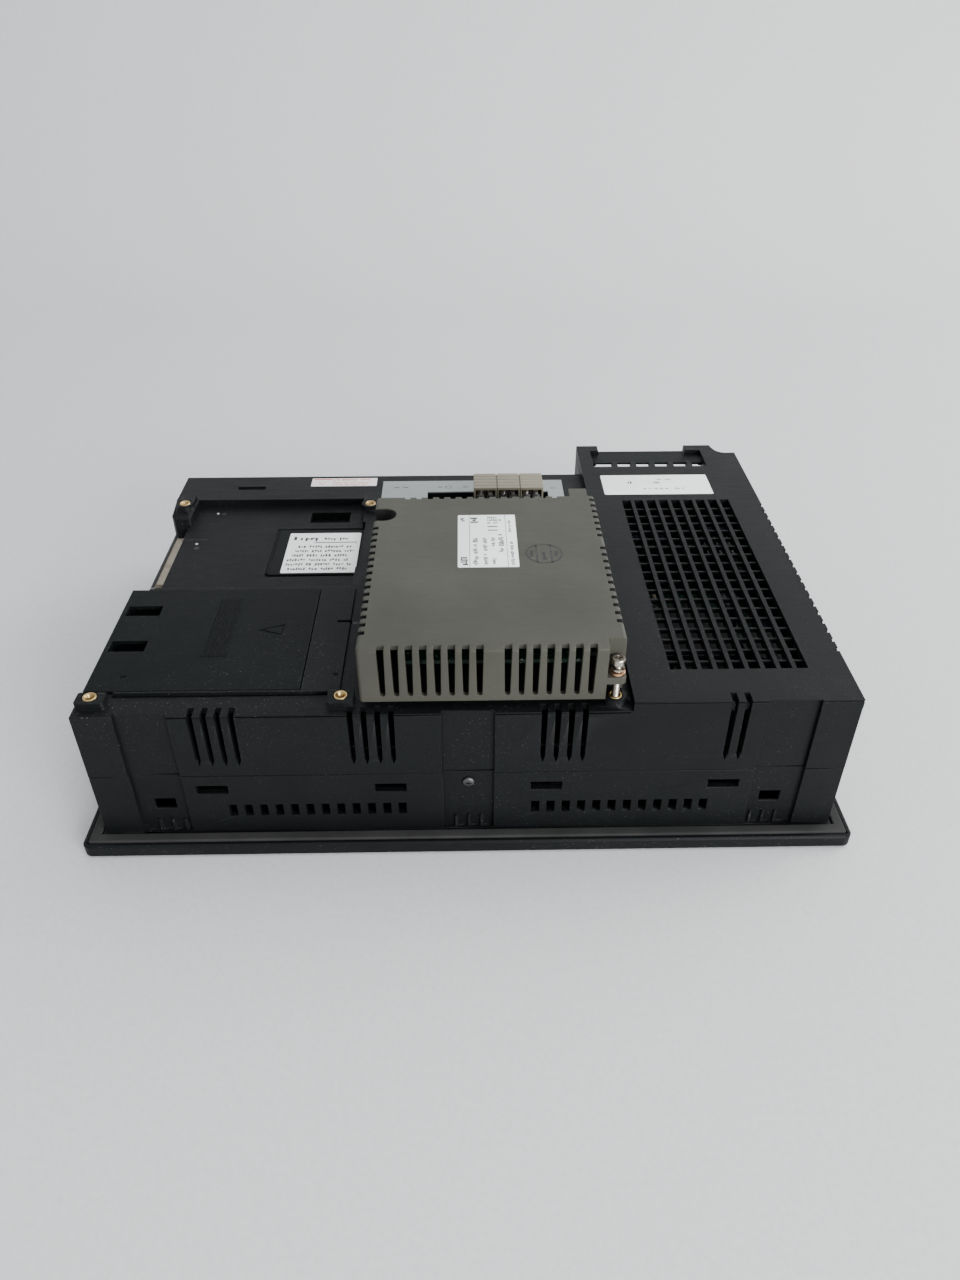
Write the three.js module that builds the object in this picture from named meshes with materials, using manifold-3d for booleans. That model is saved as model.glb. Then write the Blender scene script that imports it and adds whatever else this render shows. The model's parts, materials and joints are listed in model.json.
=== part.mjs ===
// Operator panel with a touch screen, lying on its face so that its back shows.
// Millimetres. +X runs along the long edge, +Y towards the terminal edge, +Z out of the back.
// The origin is the centre of the bezel's front face, which lies at z = 0.
import * as THREE from 'three';
import { RoundedBoxGeometry } from 'three/addons/geometries/RoundedBoxGeometry.js';
import { mergeVertices } from 'three/addons/utils/BufferGeometryUtils.js';
import Module from 'manifold-3d';

const wasm = await Module();
wasm.setup();

// Driving dimensions
const BEZEL = { width: 303.8, depth: 231, thick: 6, corner: 3, edge: 0.8 };
const BODY = { x: 144, y: 107.6, wall: 3 };     // half width and half depth of the case walls
const SEAM = 35.7;                              // height where the front and rear cases meet
const LOW = 65.7;                               // back face over the boards
const HIGH = 69.9;                              // back face over the power supply
const LIP = 0.6;                                // edge of the power cover that laps the walls
const EARS = 132.4;                             // outer side of the two ears beside the terminal cover
const PLATEAU = 66.7;                           // raised field round the sliding cover
const STEP_X = 60.3;                            // where the back face steps up
const SET_BACK = 82.5;                          // far wall of the rear case, behind the shelf
const PAN = 61.7;                               // sunk floor of the back's left part
const BOSS_TOP = 68.9;                          // faces of the threaded inserts' bosses
const GAP = 0.3;                                // gap between neighbouring pieces
const SCREEN = { x0: -128, x1: 90, y: 82 };     // opening for the display
const KEY = { x: 119, width: 16, depth: 9.5, pitch: 19.5, count: 8, travel: 0.6 };
const POCKET = { sideX: 119.15, sideHalf: 9.65, midHalf: 9.8, depth: 1.65 };
const MODULE = { x0: -39.2, x1: 57, y0: -104.8, y1: 8.8, z0: 69.2, z1: 92.5, wall: 2.2 };
const BAY = { x0: -19, x1: 41.6, y0: 14, y1: 63 };
const GRILLE = { x0: 76.5, y0: -88.5, y1: 45.5, pitch: 6, hole: 4.2, columns: 9, rows: 19, rib: 1.1 };
const LID = { x0: -89.2, x1: -48.4, y0: -6.2, y1: 33.6, thick: 2 };
const SLIDE = { x0: -143, x1: -62.5, y0: -93.7, y1: -25.3, z0: 62, z1: 66.6 };
const COVER = { x0: 67.4, x1: 125.6, y0: 91.2, y1: 101.2, tongue: 105.6, z0: 65.8, z1: 67.6 };
const HINGE = { y: 92.7, z: 66.9, pin: 0.7, hole: 0.9 };
const LID_HINGE = { y: -4.6, z: PAN - LID.thick / 2, pin: 0.7, hole: 0.9 };
const DSUB = { y: 9.9, z: 53.6, length: 53, height: 12.5, screws: 47.04, wallX: -134.2, faceX: -139.6 };

// Colours, roughness and metalness
const BLACK = { color: 0x2b2d2e, roughness: 0.5, metalness: 0 };
const DARK = { color: 0x1b1c1d, roughness: 0.6, metalness: 0 };
const OLIVE = { color: 0x5f5f58, roughness: 0.55, metalness: 0 };
const RUBBER = { color: 0x141414, roughness: 0.9, metalness: 0 };
const BOARD = { color: 0x1f5a35, roughness: 0.5, metalness: 0 };
const STEEL = { color: 0xb4b6b8, roughness: 0.35, metalness: 1 };
const BRASS = { color: 0xb59a5c, roughness: 0.35, metalness: 1 };
const PAPER = { color: 0xe9ebe8, roughness: 0.6, metalness: 0 };
const PLATE = { color: 0x919896, roughness: 0.5, metalness: 0 };
const BEIGE = { color: 0xa59b8c, roughness: 0.55, metalness: 0 };
const GLASS = { color: 0x23282c, roughness: 0.1, metalness: 0 };
const KEYCAP = { color: 0x8d9396, roughness: 0.6, metalness: 0 };

// Solids

function solid(geometry) {
  const bare = geometry.index ? geometry.toNonIndexed() : geometry.clone();
  bare.deleteAttribute('normal');
  bare.deleteAttribute('uv');
  const merged = mergeVertices(bare, 1e-4);
  const mesh = new wasm.Mesh({
    numProp: 3,
    vertProperties: new Float32Array(merged.attributes.position.array),
    triVerts: new Uint32Array(merged.index.array),
  });
  return new wasm.Manifold(mesh);
}

function block(x0, x1, y0, y1, z0, z1) {
  const box = new THREE.BoxGeometry(x1 - x0, y1 - y0, z1 - z0);
  box.translate((x0 + x1) / 2, (y0 + y1) / 2, (z0 + z1) / 2);
  return solid(box);
}

// A box with rounded upright edges.
function roundedBlock(x0, x1, y0, y1, z0, z1, radius, segments = 4) {
  return prism(roundedOutline(x0, x1, y0, y1, radius), z0, z1, segments);
}

function roundedOutline(x0, x1, y0, y1, radius) {
  const shape = new THREE.Shape();
  shape.moveTo(x0 + radius, y0);
  shape.lineTo(x1 - radius, y0);
  shape.absarc(x1 - radius, y0 + radius, radius, -Math.PI / 2, 0);
  shape.lineTo(x1, y1 - radius);
  shape.absarc(x1 - radius, y1 - radius, radius, 0, Math.PI / 2);
  shape.lineTo(x0 + radius, y1);
  shape.absarc(x0 + radius, y1 - radius, radius, Math.PI / 2, Math.PI);
  shape.lineTo(x0, y0 + radius);
  shape.absarc(x0 + radius, y0 + radius, radius, Math.PI, 1.5 * Math.PI);
  return shape;
}

function polygon(points) {
  return new THREE.Shape(points.map(([x, y]) => new THREE.Vector2(x, y)));
}

function prism(shape, z0, z1, segments = 6) {
  const options = { depth: z1 - z0, bevelEnabled: false, curveSegments: segments };
  const geometry = new THREE.ExtrudeGeometry(shape, options);
  geometry.translate(0, 0, z0);
  return solid(geometry);
}

// An outline drawn in (x, z), run from y0 to y1.
function prismY(shape, y0, y1, segments = 6) {
  const options = { depth: y1 - y0, bevelEnabled: false, curveSegments: segments };
  const geometry = new THREE.ExtrudeGeometry(shape, options);
  geometry.rotateX(Math.PI / 2);
  geometry.translate(0, y1, 0);
  return solid(geometry);
}

// An outline drawn in (y, z), run from x0 to x1.
function prismX(shape, x0, x1, segments = 6) {
  const options = { depth: x1 - x0, bevelEnabled: false, curveSegments: segments };
  const geometry = new THREE.ExtrudeGeometry(shape, options);
  geometry.rotateX(Math.PI / 2);
  geometry.rotateZ(Math.PI / 2);
  geometry.translate(x0, 0, 0);
  return solid(geometry);
}

function rod(radius, z0, z1, x, y, sides = 20) {
  const geometry = new THREE.CylinderGeometry(radius, radius, z1 - z0, sides);
  geometry.rotateX(Math.PI / 2);
  geometry.translate(x, y, (z0 + z1) / 2);
  return solid(geometry);
}

function rodX(radius, x0, x1, y, z, sides = 16) {
  const geometry = new THREE.CylinderGeometry(radius, radius, x1 - x0, sides);
  geometry.rotateZ(Math.PI / 2);
  geometry.translate((x0 + x1) / 2, y, z);
  return solid(geometry);
}

function rodY(radius, y0, y1, x, z, sides = 16) {
  const geometry = new THREE.CylinderGeometry(radius, radius, y1 - y0, sides);
  geometry.translate(x, (y0 + y1) / 2, z);
  return solid(geometry);
}

function join(...pieces) {
  return pieces.flat().reduce((whole, piece) => whole.add(piece));
}

function cut(base, ...tools) {
  return tools.flat().reduce((rest, tool) => rest.subtract(tool), base);
}

function series(count, first, pitch) {
  return Array.from({ length: count }, (_, i) => first + i * pitch);
}

// A cross-head screw standing on z = 0 with its shank down, turned and moved by its caller.
function screw(headRadius, headHeight, shankRadius, shankLength) {
  const head = new THREE.LatheGeometry([
    new THREE.Vector2(0, 0),
    new THREE.Vector2(headRadius, 0),
    new THREE.Vector2(headRadius, headHeight * 0.55),
    new THREE.Vector2(headRadius * 0.7, headHeight),
    new THREE.Vector2(0, headHeight),
  ], 14);
  head.rotateX(Math.PI / 2);
  const shank = rod(shankRadius, -shankLength, headHeight * 0.3, 0, 0, 10);
  const arm = headRadius * 0.62;
  const blade = headRadius * 0.12;
  const floor = headHeight * 0.35;
  const recess = join(
    block(-arm, arm, -blade, blade, floor, headHeight + 1),
    block(-blade, blade, -arm, arm, floor, headHeight + 1),
  );
  return cut(join(solid(head), shank), recess);
}

function ring(outer, inner, z0, z1, x, y) {
  return cut(rod(outer, z0, z1, x, y, 20), rod(inner, z0 - 1, z1 + 1, x, y, 20));
}

// The object

const panel = new THREE.Group();

function place(name, shape, look) {
  const data = shape.getMesh();
  const geometry = new THREE.BufferGeometry();
  geometry.setAttribute('position', new THREE.BufferAttribute(new Float32Array(data.vertProperties), 3));
  geometry.setIndex(new THREE.BufferAttribute(new Uint32Array(data.triVerts), 1));
  geometry.computeVertexNormals();
  const mesh = new THREE.Mesh(geometry, new THREE.MeshStandardMaterial(look));
  mesh.name = name;
  panel.add(mesh);
  return mesh;
}

// Mounting bracket pockets, which run up the near and far walls of both cases.
function bracketPockets(z0, z1, farY) {
  const { sideX, sideHalf, midHalf, depth } = POCKET;
  const cuts = [];
  for (const [x, half] of [[0, midHalf], [-sideX, sideHalf], [sideX, sideHalf]]) {
    cuts.push(block(x - half, x + half, -BODY.y - 1, -BODY.y + depth, z0, z1));
    cuts.push(block(x - half, x + half, farY - depth, farY + 1, z0, z1));
  }
  return cuts;
}

// Front case: bezel, lower walls and the front panel in one moulding

function frontCase() {
  const z = BEZEL.thick;
  const outline = roundedOutline(
    -BEZEL.width / 2 + BEZEL.edge, BEZEL.width / 2 - BEZEL.edge,
    -BEZEL.depth / 2 + BEZEL.edge, BEZEL.depth / 2 - BEZEL.edge, BEZEL.corner,
  );
  const bezel = new THREE.ExtrudeGeometry(outline, {
    depth: z - 2 * BEZEL.edge,
    bevelEnabled: true,
    bevelThickness: BEZEL.edge,
    bevelSize: BEZEL.edge,
    bevelSegments: 1,
    curveSegments: 4,
  });
  bezel.translate(0, 0, BEZEL.edge);
  const inner = { x: BODY.x - BODY.wall, y: BODY.y - BODY.wall };
  const walls = block(-BODY.x, BODY.x, -BODY.y, BODY.y, z - 1, SEAM);
  const cavity = block(-inner.x, inner.x, -inner.y, inner.y, 3, SEAM + 1);
  const shell = cut(join(solid(bezel), walls), cavity);

  const columns = [-1, 1].flatMap((sx) => [-1, 1].map((sy) => {
    return block(sx * 134.5 - 6.6, sx * 134.5 + 6.6, sy * 98 - 6.7, sy * 98 + 6.7, 2.5, SEAM);
  }));
  const cuts = bracketPockets(z, SEAM + 1, BODY.y);
  cuts.push(block(SCREEN.x0, SCREEN.x1, -SCREEN.y, SCREEN.y, -1, 4));
  cuts.push(block(-134, 134, -92, 92, -1, 0.9));
  for (const y of keyRows()) {
    cuts.push(block(KEY.x - KEY.width / 2 - GAP, KEY.x + KEY.width / 2 + GAP, y - KEY.depth / 2 - GAP,
      y + KEY.depth / 2 + GAP, -1, 4));
  }
  for (const side of [-1, 1]) {
    const near = side < 0 ? -BODY.y - 1 : BODY.y - BODY.wall - 1;
    const far = side < 0 ? -BODY.y + BODY.wall + 1 : BODY.y + 1;
    for (const mirror of [-1, 1]) {
      for (const x of series(12, 26, 6)) {
        cuts.push(block(mirror * x - 1.5, mirror * x + 1.5, near, far, 14.3, 20.3));
      }
      for (const x of [30, 98.5]) {
        cuts.push(block(mirror * x - 6, mirror * x + 6, near, far, 26.4, 30.5));
      }
      cuts.push(block(mirror * 118.25 - 4, mirror * 118.25 + 4, near, far, 17.3, 22.5));
    }
    cuts.push(rodY(1.8, near, far, 0, 30));
  }
  const groove = cut(
    block(-149.9, 149.9, -113.5, 113.5, 4.5, z + 1),
    block(-145.1, 145.1, -108.7, 108.7, 4, z + 2),
  );
  cuts.push(groove);

  const ribs = [];
  for (const side of [-1, 1]) {
    for (const x of [-122, -117, -112, -5, 0, 5, 112, 117, 122]) {
      const y = side * (BODY.y - POCKET.depth);
      ribs.push(block(x - 0.6, x + 0.6, Math.min(y, y + side * 0.9), Math.max(y, y + side * 0.9), z - 1, 12));
    }
  }
  return join(cut(join(shell, columns), cuts), ribs);
}

function keyRows() {
  return series(KEY.count, -KEY.pitch * (KEY.count - 1) / 2, KEY.pitch);
}

place('front_case', frontCase(), BLACK);
place('panel_gasket', cut(
  block(-149.6, 149.6, -113.2, 113.2, 4.8, 6.8),
  block(-145.4, 145.4, -109, 109, 4, 8),
), RUBBER);

function overlaySheet() {
  const sheet = block(-133.7, 133.7, -91.7, 91.7, 0.3, 0.7);
  const window = block(SCREEN.x0 + 3, SCREEN.x1 - 3, -SCREEN.y + 3, SCREEN.y - 3, 0, 2);
  const holes = keyRows().map((y) => block(KEY.x - KEY.width / 2 - GAP, KEY.x + KEY.width / 2 + GAP,
    y - KEY.depth / 2 - GAP, y + KEY.depth / 2 + GAP, 0, 2));
  return cut(sheet, window, holes);
}

place('overlay_sheet', overlaySheet(), DARK);

// Display stack and boards

place('touch_panel', block(-132, 94, -86, 86, 3.3, 5.1), GLASS);
place('lcd_module', block(-131, 93, -85, 85, 5.4, 10.6), STEEL);
place('backlight_unit', join(
  block(-130, 92, -84, 84, 10.9, 15),
  block(-130, 92, -84, -76, 15, 17.5),
), DARK);

function shieldPlate() {
  const plate = block(-126, 126, -90, 90, 21, 22.2);
  const flange = block(-126, 126, 88.8, 90, 21, 28);
  const holes = series(7, -90, 30).map((x) => rod(5, 20, 24, x, 0, 16));
  return cut(join(plate, flange), holes);
}

place('shield_plate', shieldPlate(), STEEL);
place('inverter_board', join(block(98, 128, -84, 60, 17.5, 19), block(103, 121, -60, -30, 19, 20.6)), BOARD);
place('key_board', block(104, 132, -78, 78, 5.6, 7.2), BOARD);

function mainBoard() {
  const board = block(-124, 54, -86, 76, 29, 30.6);
  const chips = [
    block(-60, -28, -20, 12, 30.6, 34),
    block(-100, -78, 10, 24, 30.6, 33),
    block(-100, -78, 30, 44, 30.6, 33),
    block(-10, 14, -60, -46, 30.6, 33),
  ];
  return join(board, chips);
}

place('main_board', mainBoard(), BOARD);

// Rear case

// Far end of the power supply part: a straight edge, then a hollow curve to the corner.
function farOutline(shape, y) {
  shape.lineTo(BODY.x, 98.2);
  shape.lineTo(138.5, 98.2);
  shape.quadraticCurveTo(133.4, 98.8, 132.4, BODY.y);
  shape.lineTo(STEP_X, BODY.y);
  shape.lineTo(STEP_X, y);
}

function powerPart(y0, z0, z1) {
  const shape = new THREE.Shape();
  shape.moveTo(STEP_X, y0);
  shape.lineTo(BODY.x, y0);
  farOutline(shape, y0);
  return prism(shape, z0, z1, 5);
}

// A slot in the near wall with a pointed lower end, which wraps onto the back face.
function wallSlot(x, foot, top, wrap) {
  const half = 1.1;
  const outline = polygon([
    [x - half, top], [x - half * 0.8, foot + 3], [x, foot], [x + half * 0.8, foot + 3], [x + half, top],
  ]);
  return [
    prismY(outline, -BODY.y - 1, -BODY.y + BODY.wall + 1, 1),
    block(x - half, x + half, -BODY.y - 1, -BODY.y + wrap, top - 3.4, top + 1),
  ];
}

const SLOTS_LEFT = [-101, -96, -91, -86, -43, -38, -33, -28];
const SLOTS_MID = [28, 33, 38, 43];
const SLOTS_RIGHT = [97, 102];
const INSERTS = [[-138.2, -99.4], [-46.5, -100], [54, -101.5], [-137.4, 48.8], [-46.5, 47.2], [-34.7, -7.5]];

// Outline of the plate that drops between the walls of the power supply, 'inset' from their outer faces.
function supplyOutline(inset, far, left) {
  return polygon([
    [left, -BODY.y + inset], [BODY.x - inset, -BODY.y + inset], [BODY.x - inset, SET_BACK - inset],
    [EARS - (inset - BODY.wall), SET_BACK - inset], [EARS - (inset - BODY.wall), far], [left, far],
  ]);
}

// A small engraved triangle that points to the near wall.
function pointer(x, y, size) {
  return polygon([[x - size, y + size], [x, y - size], [x + size, y + size]]);
}

function rearCase() {
  const z0 = SEAM + GAP / 2;
  const wall = BODY.wall;
  const main = block(-BODY.x, BODY.x, -BODY.y, SET_BACK, z0, LOW);
  const shelf = block(-BODY.x, STEP_X + 1, SET_BACK - 1, BODY.y, z0, z0 + wall);
  const supplyWalls = powerPart(-BODY.y, z0, HIGH - LIP - GAP);
  let shape = join(main, supplyWalls, shelf);

  shape = cut(shape,
    block(-BODY.x + wall, STEP_X, -BODY.y + wall, SET_BACK - wall, z0 - 1, LOW - wall),
    block(STEP_X + wall, BODY.x - wall, -BODY.y + wall, SET_BACK - wall, z0 - 1, LOW + 1),
    block(STEP_X - 1, STEP_X + wall + 1, -BODY.y + wall, SET_BACK - wall, z0 - 1, 45),
    block(STEP_X + wall, 129.4, SET_BACK - wall - 1, BODY.y - wall, z0 - 1, 42),
    block(STEP_X + wall, 129.4, SET_BACK, BODY.y + 1, 45, LOW + 1),
    prism(supplyOutline(wall, BODY.y + 1, STEP_X - 1), LOW, HIGH),
    block(132.6, BODY.x - wall, SET_BACK - wall - 1, 95, z0 - 1, LOW - wall),
  );

  // Floors of the sunk parts hang under the back face.
  shape = join(shape,
    block(-BODY.x, -46.6, -97, 60.5, PAN - 2.5, LOW),
    block(-131.5, -47.5, -95.2, -25, LOW - 1, PLATEAU),
    block(-BODY.x, -133.5, -28, 60, 42, LOW),
    block(-92, -45.5, -9.5, 36.5, 45, PAN),
    block(-79, -54, 36, 54, 54.5, PAN),
    block(-133, -72, -83, -35, 48, PAN),
  );
  for (const [x, y] of INSERTS.slice(2)) {
    shape = join(shape, rod(4.2, 58, BOSS_TOP, x, y));
  }
  shape = join(shape,
    roundedBlock(-143, -132.4, -103.6, -97, LOW - 1.5, BOSS_TOP, 1, 2),
    roundedBlock(-51.4, -41.6, -104.4, -96.6, LOW - 1.5, BOSS_TOP, 1, 2),
    roundedBlock(-141.1, -133.7, 49.3, 59, PAN - 1.5, BOSS_TOP - 0.7, 1, 2),
    roundedBlock(-50.2, -42.8, 47.9, 59, PAN - 1.5, BOSS_TOP - 0.7, 1, 2),
  );
  for (const side of [-1, 1]) {
    const y = side < 0 ? -BODY.y + wall : BODY.y - wall - 4;
    shape = join(shape,
      block(-5, 5, y + GAP, y + 4 - GAP, 25, z0 + wall),
      block(-5, 5, y - 1, y + 5, z0, z0 + wall),
    );
  }

  const dsubBay = polygon([
    [-150, 60], [-144, 57], [-142.4, 41], [-140.5, 38], [DSUB.wallX, 38], [DSUB.wallX, -25], [-150, -25],
  ]);
  const panOutline = polygon([
    [-135.2, -22.2], [-49.6, -22.2], [-49.6, 42], [-50.8, 43],
    [-50.8, 57.5], [-133, 57.5], [-133, 39], [-135.2, 37],
  ]);
  const cuts = [
    block(-150, -62.2, -94, -25, PAN, LOW + 2),
    block(-150, -62.2, -95.5, -93, PAN, PAN + 1.7),
    prism(panOutline, PAN, LOW + 1),
    block(-150, -62.2, -25.5, -23.5, PAN, PAN + 1.7),
    prism(dsubBay, 45, LOW + 1),
    block(-145, -BODY.x + 1, -60, -25, 45, LOW + 1),
    block(-115.7, -101.8, 68.5, 71.5, LOW - 1.2, LOW + 1),
    block(-76, -57, 41, 51, 57, LOW),
    block(LID.x0 - 0.3, LID.x1 + 0.3, LID.y0 - 0.6, LID.y1 + 0.3, PAN - LID.thick - 0.2, LOW),
    block(LID.x0 - 0.3, LID.x1 + 0.3, LID.y0 - 0.6, -2.5, PAN - 3.4, PAN),
    block(LID.x0 - 1.3, LID.x1 + 1.3, LID.y0 - 1.6, LID.y1 + 1.3, PAN - 0.8, LOW - 0.5),
    block(-86, -51, -3.5, 30.5, 47.5, PAN),
    rodX(LID_HINGE.hole, LID.x0 - 1.5, LID.x1 + 1.5, LID_HINGE.y, LID_HINGE.z, 12),
    block(-130, -75, -80, -38, 50.5, PAN + 1),
    block(BAY.x0, BAY.x1, BAY.y0, BAY.y1, 60, LOW + 1),
    block(-34, -8, -60, -52, 60, LOW + 1),
    block(-53, -47, -50.6, -49.4, LOW - 1.2, LOW + 1),
    block(-132, -51.2, -96.4, -95.2, LOW - 1, LOW + 1),
    block(-128.8, STEP_X - 1, -BODY.y - 1, -BODY.y + 1.2, LOW - 1, LOW - 0.55),
    prism(pointer(-50, -85.7, 1.4), PLATEAU - 0.5, PLATEAU + 1),
    block(-118, -96, SET_BACK - wall - 1, SET_BACK + 1, 41, 55),
    block(-88, -66, SET_BACK - wall - 1, SET_BACK + 1, 41, 55),
    block(-142, -128, DSUB.y - 20.2, DSUB.y + 20.2, DSUB.z - 5, DSUB.z + 5),
  ];
  for (const sign of [-1, 1]) {
    cuts.push(rodX(1.5, -142, -129, DSUB.y + sign * DSUB.screws / 2, DSUB.z, 12));
    cuts.push(rodY(1.2, sign * BODY.y - 9, sign * BODY.y + 9, 0, 30, 12));
  }
  for (const [x, y] of INSERTS) {
    cuts.push(rod(2.9, 61, BOSS_TOP + 1, x, y));
  }
  for (const x of [...SLOTS_LEFT, ...SLOTS_MID]) {
    cuts.push(...wallSlot(x, 41, LOW, 5));
  }
  for (const x of SLOTS_RIGHT) {
    cuts.push(...wallSlot(x, 41, HIGH, BODY.wall));
  }
  for (const y of series(20, -77, 6.1)) {
    cuts.push(block(BODY.x - 1.3, BODY.x + 1, y - 1.1, y + 1.1, 41, HIGH));
  }
  cuts.push(...bracketPockets(z0 - 1, HIGH, BODY.y).filter((_, i) => i % 2 === 0));
  return cut(shape, cuts);
}

place('rear_case', rearCase(), BLACK);

INSERTS.forEach(([x, y], i) => {
  const bush = rod(2.75, 61.3, BOSS_TOP + 0.1, x, y, 14);
  const bore = rod(1.55, 62.3, BOSS_TOP + 1, x, y, 10);
  place(`insert_${i + 1}`, cut(bush, bore), BRASS);
});

// Power supply under its cover

function powerCover() {
  const z0 = LOW + GAP / 2;
  const lip = powerPart(-BODY.y, HIGH - LIP, HIGH);
  const plate = join(lip, prism(supplyOutline(BODY.wall + GAP, BODY.y, STEP_X), z0, HIGH - LIP / 2));
  const { x0, y0, y1, pitch, hole, columns, rows, rib } = GRILLE;
  const slots = series(columns, x0, pitch).map((x) => block(x, x + hole, y0, y1, z0 - 1, HIGH + 1));
  const x1 = x0 + (columns - 1) * pitch + hole;
  const step = (y1 - y0 + rib) / rows;
  const bars = series(rows - 1, y0 + step - rib, step).map((y) => {
    return block(x0 - 1, x1 + 1, y, y + rib, z0 + 0.8, HIGH - 1.4);
  });
  let shape = join(cut(plate, slots), join(bars));
  shape = cut(shape,
    block(67, 126, SET_BACK, 101.6, z0 - 1, HIGH + 1),
    block(71.5, 118.2, 100, BODY.y + 1, z0 - 1, HIGH + 1),
    rodX(HINGE.hole, 65.5, 127.5, HINGE.y, HINGE.z, 12),
  );
  const fingers = series(5, 78.6, 9.8).map((x) => {
    return block(x - 1.4, x + 1.4, SET_BACK - 1, 90.2, z0 + 0.6, HIGH - 0.9);
  });
  shape = join(shape, fingers);
  const cuts = [];
  for (const x of SLOTS_RIGHT) {
    cuts.push(block(x - 1.1, x + 1.1, -BODY.y - 1, -BODY.y + 5, z0 - 1, HIGH + 1));
  }
  for (const y of series(20, -77, 6.1)) {
    cuts.push(block(BODY.x - 1.3, BODY.x + 1, y - 1.1, y + 1.1, z0 - 1, HIGH + 1));
  }
  cuts.push(block(POCKET.sideX - POCKET.sideHalf, POCKET.sideX + POCKET.sideHalf, -BODY.y - 1,
    -BODY.y + 0.5, z0 - 1, HIGH + 1));
  return cut(shape, cuts);
}

place('power_cover', powerCover(), BLACK);
place('power_board', block(67, 138, -100, 76, 40, 41.6), BOARD);
place('power_transformer', join(block(78, 108, -70, -36, 41.9, 62), block(82, 104, -74, -32, 45, 58)), DARK);
place('power_capacitor', rod(11, 41.9, 62, 122, -62, 24), DARK);

function heatSink() {
  const fins = series(6, 78, 9).map((x) => block(x, x + 1.5, 9, 22, 41.9, 63));
  return join(block(76, 126, 6, 9, 41.9, 63), fins);
}

place('heat_sink', heatSink(), STEEL);

function terminalBlock() {
  const body = block(77.1, 108.9, 84, 100, 45.3, 52);
  const walls = series(4, 77.1, 10.2).map((x) => block(x, x + 1.2, 84, 100, 51, 56));
  const holes = series(3, 82.8, 10.2).map((x) => rod(1.9, 47, 60, x, 93, 12));
  return cut(join(body, walls), holes);
}

place('terminal_block', terminalBlock(), DARK);
series(3, 82.8, 10.2).forEach((x, i) => {
  place(`terminal_screw_${i + 1}`, screw(3.2, 2, 1.6, 4).translate([x, 93, 52.3]), STEEL);
});

function terminalCover() {
  const { x0, x1, y0, y1, tongue, z0, z1 } = COVER;
  const skin = z1 - 0.9;
  const plate = join(
    block(x0, x1, y0, y1, skin, z1),
    block(71.9, 117.8, y1 - 1, tongue, skin, z1),
    block(71.9, 117.8, tongue - 1.2, tongue, z0, z1),
  );
  const cheeks = [[x0, x0 + 2], [x1 - 2, x1]].map(([a, b]) => block(a, b, y0, y1, z0, z1));
  const pins = [
    rodX(HINGE.pin, x0 - 1.5, x0 + 1, HINGE.y, HINGE.z, 12),
    rodX(HINGE.pin, x1 - 1, x1 + 1.5, HINGE.y, HINGE.z, 12),
  ];
  return join(plate, cheeks, pins);
}

place('terminal_cover', terminalCover(), BLACK);

// Covers and connectors of the left part

function slideCover() {
  const { x0, x1, y0, y1, z0, z1 } = SLIDE;
  const plate = block(x0, x1, y0, y1, z0, z1);
  const hollow = block(x0 + 3, x1 - 3, y0 + 3, y1 - 3, z0 - 1, z1 - 1.8);
  const runners = block(x0 + 8, x1 - 2, y0 - 1.4, y1 + 1.4, z0, z0 + 1.2);
  const ridges = series(10, -103.5, 1).map((x) => block(x - 0.25, x + 0.25, -73, -33, z1 - 0.4, z1 + 0.3));
  const windows = [
    block(-141, -127, -44.5, -37.6, z0 - 1, z1 + 1),
    block(-141, -127, -69, -62, z0 - 1, z1 + 1),
  ];
  const arrow = cut(prism(polygon([[-84.5, -55.5], [-74, -59.5], [-74, -51.5]]), z1 - 0.4, z1 + 1),
    prism(polygon([[-82.4, -55.5], [-74.7, -58.4], [-74.7, -52.6]]), z1 - 1, z1 + 2));
  const engraved = [arrow, prism(pointer(-130.5, -85.7, 1.4), z1 - 0.5, z1 + 1)];
  return cut(join(cut(plate, hollow), cut(runners, hollow), ridges), windows, engraved);
}

place('slide_cover', slideCover(), BLACK);
place('card_socket', cut(block(-120, -84, -66, -56, 50.8, 58), block(-118, -86, -62.5, -59.5, 53, 59)), DARK);

function batteryLid() {
  const { x0, x1, y0, y1, thick } = LID;
  const plate = block(x0, x1, y0, y1, PAN - thick, PAN);
  return join(plate, rodX(LID_HINGE.pin, x0 - 1.2, x1 + 1.2, LID_HINGE.y, LID_HINGE.z, 12));
}

place('battery_lid', batteryLid(), BLACK);
place('battery_label', block(-83.8, -50, -5, 30.4, PAN + 0.02, PAN + 0.17), PAPER);
place('battery', join(rodX(5.6, -84, -56, 13, 53.4, 24), rodX(2, -56, -54.5, 13, 53.4, 12)), BEIGE);
place('warning_label', block(-79, -45.5, 71.3, 80, LOW + 0.02, LOW + 0.17), PAPER);

function dsubShell() {
  const { y, z, length, height, wallX, faceX } = DSUB;
  const z0 = z - height / 2;
  const z1 = z + height / 2;
  const flange = block(wallX - 1.1, wallX - 0.1, y - length / 2, y + length / 2, z0, z1);
  const body = block(faceX, wallX - 0.5, y - 20.4, y + 20.4, z0, z1);
  const hole = prismX(dsubOutline(18.9, 3.6), faceX - 1, wallX + 1);
  const holes = [-1, 1].map((s) => rodX(1.6, wallX - 3, wallX + 1, y + s * DSUB.screws / 2, z, 12));
  return cut(join(flange, body), hole, holes);
}

// The D of the connector, in (y, z): half length at its long side, half height.
function dsubOutline(halfLength, halfHeight) {
  const lean = halfHeight * 0.35;
  return polygon([
    [DSUB.y - halfLength + lean, DSUB.z - halfHeight],
    [DSUB.y + halfLength - lean, DSUB.z - halfHeight],
    [DSUB.y + halfLength, DSUB.z + halfHeight],
    [DSUB.y - halfLength, DSUB.z + halfHeight],
  ]);
}

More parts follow.
